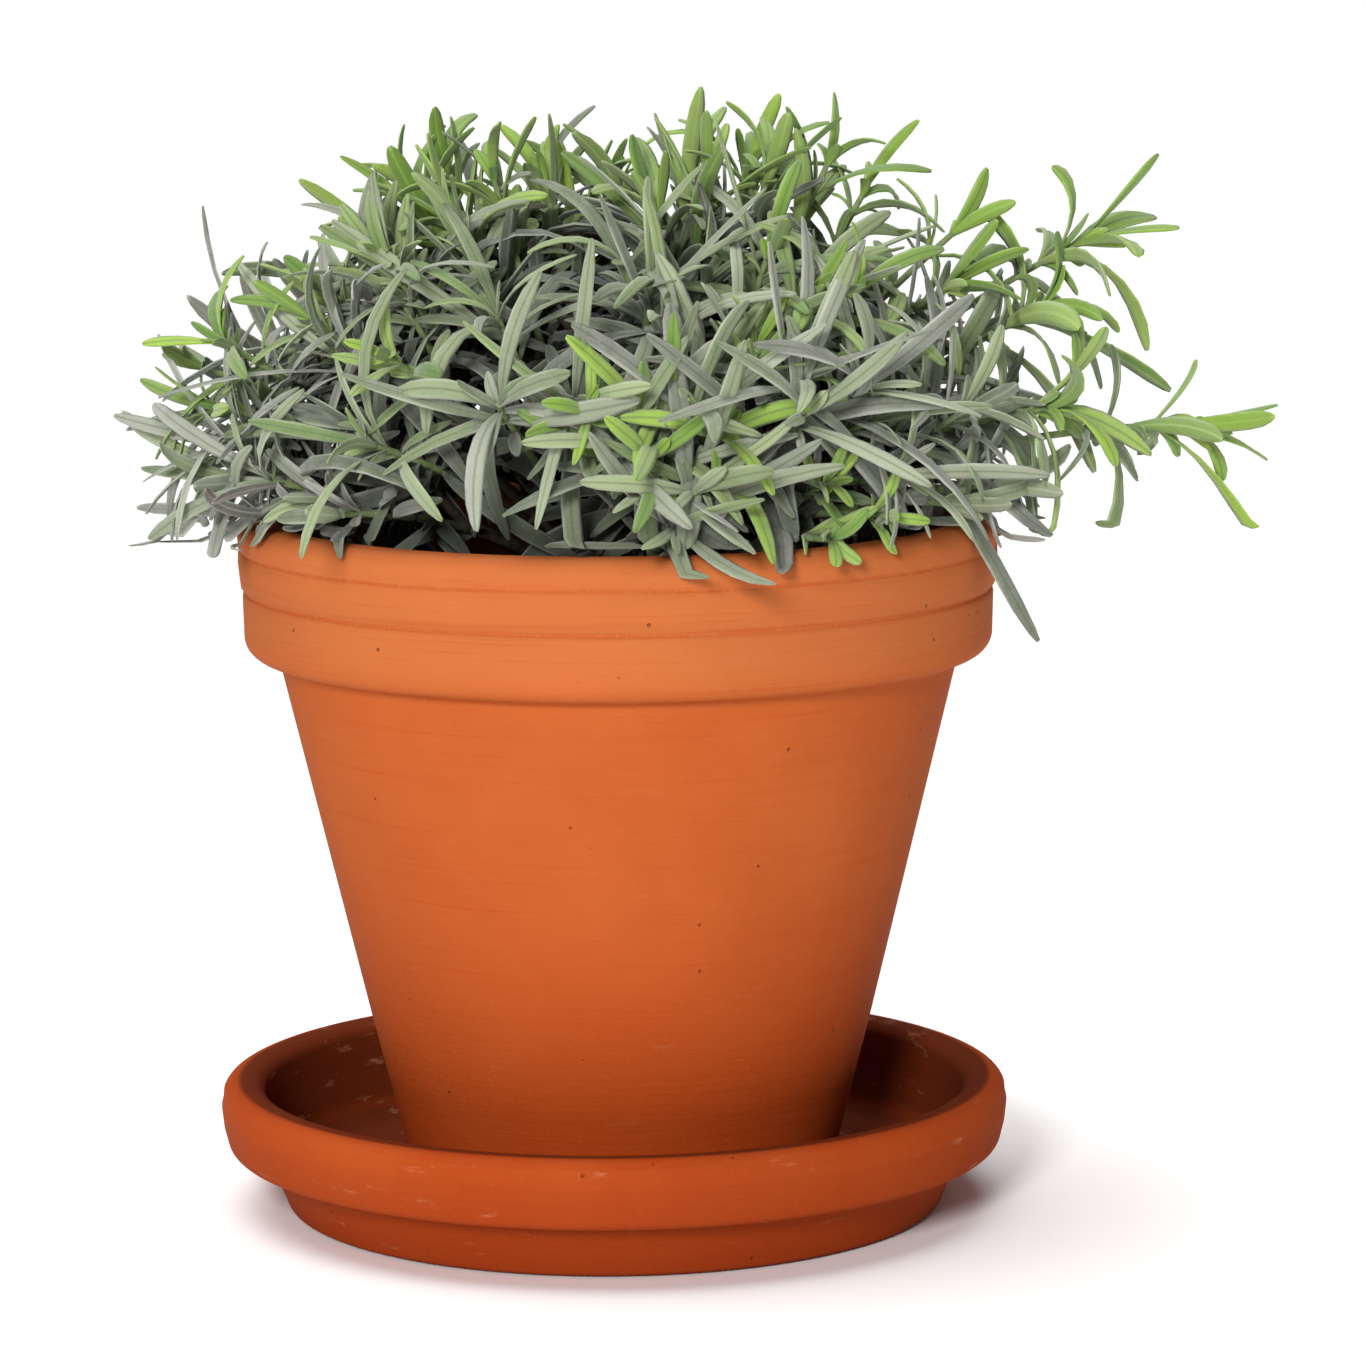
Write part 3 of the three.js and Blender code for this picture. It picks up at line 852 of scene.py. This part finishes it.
# ---------- the leafy tree ----------
class LeafyNet(Net):
    """A geometry tree with named inputs."""

    def __init__(self, name):
        super().__init__(bpy.data.node_groups.new(name, "GeometryNodeTree"))
        self.keys = {}
        self.tree.interface.new_socket("Geometry", in_out="OUTPUT", socket_type="NodeSocketGeometry")
        self.tree.interface.new_socket("Guides", in_out="INPUT", socket_type="NodeSocketGeometry")
        self.entry = None

    def inputs(self, **kinds):
        """Adds inputs by name, and returns their wires under the same names in small letters."""
        for name, kind in kinds.items():
            socket = self.tree.interface.new_socket(
                name.replace("_", " "), in_out="INPUT", socket_type="NodeSocket" + kind
            )
            self.keys[name] = socket.identifier
        self.entry = self.add("NodeGroupInput")
        wires = {}
        for name, kind in kinds.items():
            socket = self.entry.outputs[name.replace("_", " ")]
            wires[name.lower()] = Wire(self, socket, kind == "Vector")
        return SimpleNamespace(**wires)

    def index(self):
        return Wire(self, self.add("GeometryNodeInputIndex").outputs[0])

    def chance(self, low, high, seed, channel):
        """A different random number for each leaf."""
        node = self.node(
            "FunctionNodeRandomValue", {2: low, 3: high, "Seed": seed + channel}, data_type="FLOAT"
        )
        return Wire(self, node.outputs[1])

    def capture(self, geometry, domain, **values):
        """Keeps values on a geometry so that they are still there after it changes."""
        node = self.add("GeometryNodeCaptureAttribute", domain=domain)
        for name, value in values.items():
            node.capture_items.new("VECTOR" if value.vector else "FLOAT", name)
        self.feed(node.inputs["Geometry"], geometry)
        kept = []
        for name, value in values.items():
            self.feed(node.inputs[name], value)
            kept.append(Wire(self, node.outputs[name], value.vector))
        return node.outputs["Geometry"], kept

    def store(self, geometry, name, value, kind="FLOAT", domain="POINT"):
        node = self.add("GeometryNodeStoreNamedAttribute", data_type=kind, domain=domain)
        self.feed(node.inputs["Geometry"], geometry)
        self.feed(node.inputs["Name"], name)
        self.feed(node.inputs["Value"], value)
        return node.outputs["Geometry"]

    def smooth_max(self, a, b, distance):
        """The larger of two numbers, eased where they are close."""
        node = self.node("ShaderNodeMath", {0: a, 1: b, 2: distance}, operation="SMOOTH_MAX")
        return Wire(self, node.outputs[0])

    def named(self, name, kind="FLOAT"):
        node = self.node("GeometryNodeInputNamedAttribute", {"Name": name}, data_type=kind)
        return Wire(self, node.outputs[0], kind == "FLOAT_VECTOR")


ATLAS_CELLS = 10
LIP_WIDTH = 13 * MM
LEAF_CLEARANCE = 2.2 * MM
LIP_EASING = 6 * MM
STEM_RADIUS = 1.5 * MM
LEAVES_PER_PAIR = 4  # two leaves, and a small one in the axil of each
LEAFY_TO = 0.985  # share of the stem's length
SPRAY_LEAFY_FROM = 0.32
KEPT_OF_A_LEAF = (
    "base", "out", "tangent", "length", "width", "lean", "bend", "roll", "sweep", "sag", "tone", "youth",
    "number", "fresh",
)


def rise_over_rim(net, centre, given):
    """How far a point on a leaf has to rise to lie over the pot's lip and above the mix."""
    x, y, z = centre.parts()
    radius = (x * x + y * y) ** 0.5
    inner = given.rim_radius - LIP_WIDTH
    inside_slope = given.rim_height - (inner - radius).at_least(0) * 0.9
    outside_slope = ((radius - given.rim_radius).at_least(0) * 2.2).at_most(given.overhang)
    lowest = inside_slope.at_least(given.soil_height) - outside_slope + LEAF_CLEARANCE
    return net.smooth_max(lowest, z, LIP_EASING) - z


def number_leaves(net, guides, pairs):
    """Points for all the leaves, and which leaf each of them carries."""
    size = net.node("GeometryNodeAttributeDomainSize", {"Geometry": guides}, component="CURVE")
    splines = Wire(net, size.outputs["Spline Count"])
    each = pairs * LEAVES_PER_PAIR
    points = net.node("GeometryNodePoints", {"Count": splines * each}).outputs[0]
    index = net.index()
    k = index.mod(each)
    pair = (k / LEAVES_PER_PAIR).floor()
    leaf = SimpleNamespace(
        number=index,
        spline=(index / each).floor(),
        pair=pair,
        second=k.mod(2),
        axil=(k / 2).floor().mod(2),
        fresh=pair / (pairs - 1),
    )
    return points, leaf


def seat_leaves(net, guides, leaf, leafy_from, seed):
    """Where each leaf leaves its stem, in crossed pairs that crowd together towards the tip."""
    crowded = 1 - (1 - leaf.fresh) ** 1.45
    is_side = leaf.spline.at_most(1)
    start_at = leafy_from * (1 - is_side) + SPRAY_LEAFY_FROM * is_side
    u = start_at + (LEAFY_TO - start_at) * crowded
    sample = net.node(
        "GeometryNodeSampleCurve",
        {"Curves": guides, "Factor": u, "Curve Index": leaf.spline},
        mode="FACTOR",
    )
    leaf.base = Wire(net, sample.outputs["Position"], True)
    leaf.tangent = Wire(net, sample.outputs["Tangent"], True).unit()
    normal = Wire(net, sample.outputs["Normal"], True).unit()
    around = leaf.pair * (math.pi / 2) + leaf.second * math.pi + leaf.axil * 0.5
    around = around + net.chance(-0.4, 0.4, seed, 1) + leaf.spline * 0.8
    leaf.out = normal * around.cos() + leaf.tangent.cross(normal) * around.sin()


def shape_leaves(net, leaf, given):
    """How long, wide, bent, twisted and old each leaf is."""
    seed = given.seed
    share = leaf.fresh
    grown = 0.80 + 0.85 * share - 0.95 * share * share
    small = 1 - leaf.axil * (0.4 + net.chance(0, 0.4, seed, 2))
    leaf.length = given.leaf_length * grown * small * net.chance(0.82, 1.15, seed, 3)
    narrow = (1 - 0.25 * share) * (1 - leaf.axil * 0.3)
    leaf.width = given.leaf_width * 0.46 * narrow * net.chance(0.85, 1.15, seed, 4)
    lean = given.lean_low + (given.lean_high - given.lean_low) * share**1.2
    leaf.lean = (lean + net.chance(-0.2, 0.2, seed, 5)) * (1 - leaf.axil * 0.35)
    leaf.bend = given.curl * (1 - share * 0.35) + net.chance(-0.6, 1.1, seed, 6)
    leaf.roll = net.chance(-1, 1, seed, 7) * given.twist
    leaf.sweep = net.chance(-0.36, 0.36, seed, 8)
    leaf.sag = given.droop * (1 - share) * net.chance(0.2, 1.2, seed, 9)
    leaf.tone = net.chance(0, 1, seed, 10)
    youth = given.greenness * share.between(0, 0.6, 0.25, 1) + 0.25 * share.between(0.8, 1.0)
    leaf.youth = (youth + net.chance(-0.12, 0.12, seed, 11)).at_least(0).at_most(1)


def clear_patch(net, points, leaf, patch, radius):
    """Leaves out the leaves that would fill the bare patch."""
    reach = leaf.lean + leaf.bend * 0.5
    tip = leaf.base + leaf.out * (reach.sin() * leaf.length) + leaf.tangent * (reach.cos() * leaf.length)
    tip_away = tip.maths("DISTANCE", patch)
    middle_away = ((leaf.base + tip) * 0.5).maths("DISTANCE", patch)
    crowding = radius - tip_away.at_most(middle_away)
    kept = net.node("GeometryNodeDeleteGeometry", {"Geometry": points, "Selection": crowding.above(0)})
    return kept.outputs[0]


def bend_leaves(net, leaves, leaf, given):
    """Takes every blade from its plain coordinates to its bent place on the shoot."""
    s = net.named("blade_along")
    a = net.named("blade_across")
    lift = net.named("blade_lift")
    turned_by = leaf.lean + leaf.bend * s * 0.5
    shorten = 1 - (leaf.bend * s) ** 2 / 24
    angle = leaf.lean + leaf.bend * s
    across = leaf.out.cross(leaf.tangent)
    face = leaf.tangent * angle.sin() - leaf.out * angle.cos()
    spine = leaf.out * (turned_by.sin() * s * shorten) + leaf.tangent * (turned_by.cos() * s * shorten)
    spine = spine + across * (leaf.sweep * s * s) + net.vector(0, 0, leaf.sag * s * s * -1)
    centre = leaf.base + spine * leaf.length
    centre = centre + net.vector(0, 0, rise_over_rim(net, centre, given))
    twist = leaf.roll * s
    wide = across * twist.cos() + face * twist.sin()
    high = face * twist.cos() - across * twist.sin()
    place = centre + wide * (a * leaf.width) + high * (lift * leaf.width)
    return net.node("GeometryNodeSetPosition", {"Geometry": leaves, "Position": place}).outputs[0]


def map_leaves(net, leaves, number):
    """Gives every leaf its own cell of the shoot's map."""
    column = number.mod(ATLAS_CELLS)
    row = (number / ATLAS_CELLS).floor()
    cell = (net.named("blade_map", "FLOAT_VECTOR") + net.vector(column, row, 0)) * (1 / ATLAS_CELLS)
    return net.store(leaves, "OFBake", cell, "FLOAT2", "CORNER")


def round_stems(net, guides, radius):
    """A round stem along every guide curve, half as thick at its tip."""
    factor = Wire(net, net.add("GeometryNodeSplineParameter").outputs["Factor"])
    curve, (up_stem,) = net.capture(guides, "POINT", up_stem=factor)
    circle = net.node("GeometryNodeCurvePrimitiveCircle", {"Resolution": 7, "Radius": radius})
    ring, (round_stem,) = net.capture(circle.outputs[0], "POINT", round_stem=factor)
    tube = net.node(
        "GeometryNodeCurveToMesh",
        {"Curve": curve, "Profile Curve": ring, "Fill Caps": True, "Scale": 1 - factor * 0.5},
    )
    stems = net.store(tube.outputs[0], "stem_along", up_stem)
    stem_cell = net.vector(
        (round_stem * 0.9 + (ATLAS_CELLS - 1)) * (1 / ATLAS_CELLS),
        (up_stem * 0.98 + (ATLAS_CELLS - 1)) * (1 / ATLAS_CELLS),
        0,
    )
    stems = net.store(stems, "OFBake", stem_cell, "FLOAT2", "CORNER")
    return net.store(stems, "on_stem", 1.0)


def leafy_tree():
    """Leaves in crossed pairs along every guide curve, each bent, rolled and drooping, on round stems."""
    net = LeafyNet("leafy_shoot")
    given = net.inputs(
        Blade="Object",
        Leaf_length="Float",
        Leaf_width="Float",
        Pairs="Int",
        Leafy_from="Float",
        Lean_low="Float",
        Lean_high="Float",
        Curl="Float",
        Droop="Float",
        Twist="Float",
        Stem_radius="Float",
        Greenness="Float",
        Seed="Int",
        Rim_radius="Float",
        Rim_height="Float",
        Soil_height="Float",
        Overhang="Float",
        Bare_patch="Vector",
        Bare_radius="Float",
        Leaf_material="Material",
        Stem_material="Material",
    )
    guides = net.entry.outputs["Guides"]
    points, leaf = number_leaves(net, guides, given.pairs)
    seat_leaves(net, guides, leaf, given.leafy_from, given.seed)
    shape_leaves(net, leaf, given)
    points, kept = net.capture(points, "POINT", **{name: getattr(leaf, name) for name in KEPT_OF_A_LEAF})
    leaf = SimpleNamespace(**dict(zip(KEPT_OF_A_LEAF, kept)))
    points = clear_patch(net, points, leaf, given.bare_patch, given.bare_radius)

    shape = net.node("GeometryNodeObjectInfo", {"Object": given.blade}).outputs["Geometry"]
    copies = net.node("GeometryNodeInstanceOnPoints", {"Points": points, "Instance": shape})
    leaves = net.node("GeometryNodeRealizeInstances", {"Geometry": copies.outputs[0]}).outputs[0]
    leaves = bend_leaves(net, leaves, leaf, given)
    leaves = net.store(leaves, "leaf_tone", leaf.tone)
    leaves = net.store(leaves, "leaf_youth", leaf.youth)
    leaves = net.store(leaves, "leaf_fresh", leaf.fresh)
    leaves = map_leaves(net, leaves, leaf.number)

    both = net.add("GeometryNodeJoinGeometry")
    net.feed(both.inputs[0], round_stems(net, guides, given.stem_radius))
    net.feed(both.inputs[0], leaves)
    smooth = net.node("GeometryNodeSetShadeSmooth", {"Geometry": both.outputs[0]}).outputs[0]
    real = net.node("GeometryNodeRealizeInstances", {"Geometry": smooth}).outputs[0]
    felted = net.node("GeometryNodeSetMaterial", {"Geometry": real, "Material": given.leaf_material})
    finished = net.node(
        "GeometryNodeSetMaterial",
        {
            "Geometry": felted.outputs[0],
            "Selection": net.named("on_stem").above(0.5),
            "Material": given.stem_material,
        },
    )
    end = net.add("NodeGroupOutput")
    net.feed(end.inputs[0], finished.outputs[0])
    return net


def leaf_material():
    """Felted grey-green leaves, bright green and smoother where they are young."""
    material, net, surface, where = new_material(
        "felted_leaf", 0.75, Specular_IOR_Level=0.3, Sheen_Weight=0.25, Sheen_Roughness=0.6
    )
    tone = net.attribute("leaf_tone")
    youth = net.attribute("leaf_youth")
    across = net.attribute("blade_across").abs()
    under = net.attribute("blade_under")
    along = net.attribute("blade_along")
    blotch = net.noise(where, 160, 3, 0.6)
    felt = net.noise(where, 1600, 2, 0.7)
    grey = net.mix(tone, (0.092, 0.100, 0.072), (0.300, 0.312, 0.250))
    # painted shade: leaves low on their stem sit deep inside the bush and are painted darker
    old = 1 - net.attribute("leaf_fresh").between(0.0, 0.8)
    grey = net.mix(old * 0.85, grey, (0.055, 0.065, 0.042))
    grey = net.mix(blotch.between(0.35, 0.7, 0, 0.25), grey, (0.33, 0.342, 0.280))
    green = net.mix(tone, (0.095, 0.20, 0.016), (0.25, 0.39, 0.036))
    green = net.mix(blotch.between(0.4, 0.75, 0, 0.3), green, (0.14, 0.24, 0.04))
    colour = net.mix(youth, grey, green)
    pale = net.mix(youth, (0.48, 0.50, 0.43), (0.27, 0.41, 0.08))
    rim = across.between(0.62, 0.95, 0, 0.7)
    colour = net.mix(rim, colour, pale)
    midrib = across.between(0.0, 0.22, 1, 0)
    # painted shade: the groove of the midrib on the upper side is painted dark
    colour = net.mix(midrib * (1 - under) * 0.5, colour, (0.05, 0.07, 0.035))
    colour = net.mix(midrib * under * 0.55, colour, pale)
    colour = net.mix(felt.between(0.5, 0.8, 0, 0.3) * (1 - youth * 0.7), colour, (0.38, 0.39, 0.35))
    colour = net.mix(along.between(0.3, 0.0, 0, 0.35), colour, (0.12, 0.18, 0.05))
    x, y, z = where.parts()
    # painted shade: leaves near the crown, deep inside the bush, are painted nearly black
    depth = (x**2 + y**2 + (z - CROWN_CENTRE.z) ** 2) ** 0.5
    colour = net.mix(depth.between(0.105, 0.062, 0, 0.8), colour, (0.025, 0.030, 0.018))
    net.feed(surface.inputs["Base Color"], colour)
    net.feed(surface.inputs["Roughness"], 0.85 - youth * 0.3)
    roughen(net, surface, felt * 0.6 + blotch * 0.4, 0.00025)
    return material


def stem_material():
    """Stems are woody and brown low down, and green towards their tips."""
    material, net, surface, where = new_material("stem_skin", 0.8, Specular_IOR_Level=0.3)
    along = net.attribute("stem_along")
    fibres = net.noise(where, 500, 3, 0.7)
    wood = net.mix(fibres.between(0.3, 0.7), (0.018, 0.013, 0.009), (0.055, 0.040, 0.026))
    fresh = net.mix(fibres.between(0.3, 0.7), (0.12, 0.18, 0.06), (0.21, 0.27, 0.12))
    colour = net.mix(along.between(0.45, 0.8), wood, fresh)
    net.feed(surface.inputs["Base Color"], colour)
    roughen(net, surface, fibres, 0.0003)
    return material


def grow(shoot, direction, tree, blade, leaf, stem, sprays):
    """One shoot as a plain mesh."""
    guide = stem_curves(shoot, direction, sprays)
    modifier = guide.modifiers.new("leafy", "NODES")
    modifier.node_group = tree.tree
    settings = {
        "Blade": blade,
        "Leaf_length": shoot["length"],
        "Leaf_width": shoot["width"],
        "Pairs": shoot.get("pairs", 5),
        "Leafy_from": shoot.get("leafy_from", 0.46),
        "Lean_low": shoot.get("lean_low", 1.05),
        "Lean_high": shoot.get("lean_high", 0.30),
        "Curl": shoot.get("curl", 0.35),
        "Droop": shoot.get("droop", 0.18),
        "Twist": shoot.get("twist", 0.7),
        "Stem_radius": STEM_RADIUS,
        "Greenness": shoot["green"],
        "Seed": hash_number(shoot["name"]) * 31,
        "Rim_radius": POT_RADIUS,
        "Rim_height": POT_HIGH.z,
        "Soil_height": MIX_HIGH.z,
        "Overhang": shoot.get("overhang", 5 * MM),
        "Bare_patch": BARE_PATCH,
        "Bare_radius": BARE_RADIUS,
        "Leaf_material": leaf,
        "Stem_material": stem,
    }
    for name, value in settings.items():
        modifier[tree.keys[name]] = value
    bpy.context.view_layer.update()
    depsgraph = bpy.context.evaluated_depsgraph_get()
    mesh = bpy.data.meshes.new_from_object(guide.evaluated_get(depsgraph), depsgraph=depsgraph)
    mesh.name = shoot["name"] + "_leaves"
    bpy.data.objects.remove(guide)
    piece = add_object(shoot["name"] + "_leaves", mesh)
    settle(piece, shoot["name"])
    return piece


def make_plant():
    plan = planting_plan()
    tree = leafy_tree()
    blade = make_blade()
    leaf = leaf_material()
    stem = stem_material()
    for shoot, direction in zip(plan, stem_directions(plan)):
        grow(shoot, direction, tree, blade, leaf, stem, shoot.get("sprays", 2))
    bpy.data.objects.remove(blade)


make_plant()
